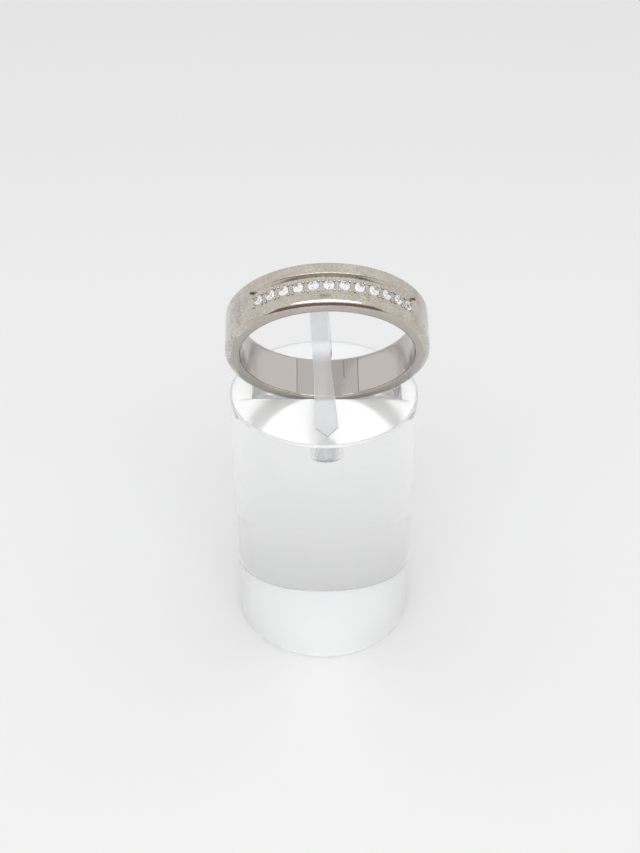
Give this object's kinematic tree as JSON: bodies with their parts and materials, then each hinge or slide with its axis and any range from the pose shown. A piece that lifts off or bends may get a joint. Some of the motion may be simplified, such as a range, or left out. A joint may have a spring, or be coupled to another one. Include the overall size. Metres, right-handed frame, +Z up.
{
  "type": "crystal ring on a clear acrylic ring stand",
  "caption": "Flat-court band with a sunk channel of small clear crystals, held upright and leaning by a clear acrylic cylinder with a springy clip.",
  "frame": {"origin": "centre of the stand block's flat base", "axes": "+Z up along the block's axis; -Y towards the viewer, the side that the ring leans to and the clip's tip is on; +X to the viewer's right"},
  "size_m": [0.0204, 0.0201, 0.0489],
  "materials": {
    "white_metal": "polished white precious metal with a faint warm tone and light wear",
    "crystal": "clear faceted crystal",
    "clear_acrylic": "clear polished cast acrylic",
    "clip_plastic": "clear, slightly milky springy plastic"
  },
  "bodies": {
    "root": {"ring_band": "white_metal", "stone_01": "crystal", "stone_02": "crystal", "stone_03": "crystal", "stone_04": "crystal", "stone_05": "crystal", "stone_06": "crystal", "stone_07": "crystal", "stone_08": "crystal", "stone_09": "crystal", "stone_10": "crystal", "stone_11": "crystal", "stone_12": "crystal", "stand_block": "clear_acrylic", "ring_clip": "clip_plastic"}
  },
  "joints": []
}
